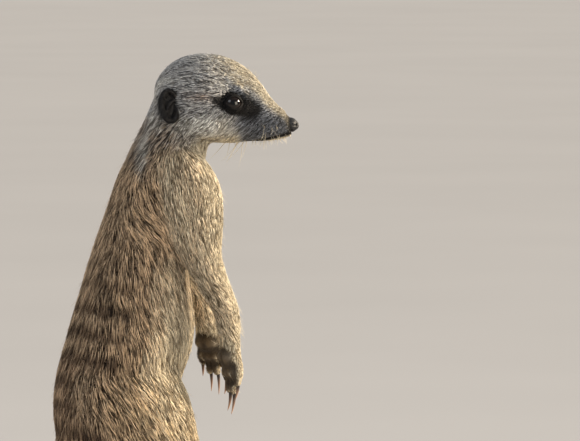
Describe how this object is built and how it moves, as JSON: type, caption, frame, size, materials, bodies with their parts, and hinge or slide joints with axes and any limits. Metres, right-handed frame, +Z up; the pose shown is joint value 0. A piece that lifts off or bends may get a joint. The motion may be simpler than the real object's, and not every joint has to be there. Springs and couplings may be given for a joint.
{
  "type": "meerkat",
  "caption": "Life-size meerkat standing upright on its hind legs, on watch, with its tail laid on the ground behind it.",
  "frame": {"origin": "middle of the bounding box, on the floor", "axes": "+X the way the body faces, +Y the animal's left, +Z up"},
  "size_m": [0.283, 0.0834, 0.2901],
  "materials": {
    "grey_fur": "dense short fur, grizzled grey-brown",
    "pale_fur": "short pale fur",
    "tan_fur": "short tan fur",
    "black_hide": "black skin and short black fur",
    "horn": "dark polished claw",
    "eye_brown": "wet, mirror smooth"
  },
  "bodies": {
    "root": {"belly": "grey_fur", "chest": "grey_fur", "ear_left": "black_hide", "ear_right": "black_hide", "eye_left": "eye_brown", "eye_right": "eye_brown", "foot_claw_left_1": "horn", "foot_claw_left_2": "horn", "foot_claw_left_3": "horn", "foot_claw_left_4": "horn", "foot_claw_right_1": "horn", "foot_claw_right_2": "horn", "foot_claw_right_3": "horn", "foot_claw_right_4": "horn", "foot_left": "pale_fur", "foot_right": "pale_fur", "forearm_left": "pale_fur", "forearm_right": "pale_fur", "hand_claw_left_1": "horn", "hand_claw_left_2": "horn", "hand_claw_left_3": "horn", "hand_claw_left_4": "horn", "hand_claw_right_1": "horn", "hand_claw_right_2": "horn", "hand_claw_right_3": "horn", "hand_claw_right_4": "horn", "hand_left": "pale_fur", "hand_right": "pale_fur", "head": "grey_fur", "neck": "grey_fur", "nose": "black_hide", "rump": "grey_fur", "shank_left": "grey_fur", "shank_right": "grey_fur", "tail_base": "grey_fur", "tail_middle": "tan_fur", "tail_tip": "black_hide", "thigh_left": "grey_fur", "thigh_right": "grey_fur", "upper_arm_left": "grey_fur", "upper_arm_right": "grey_fur"}
  },
  "joints": []
}
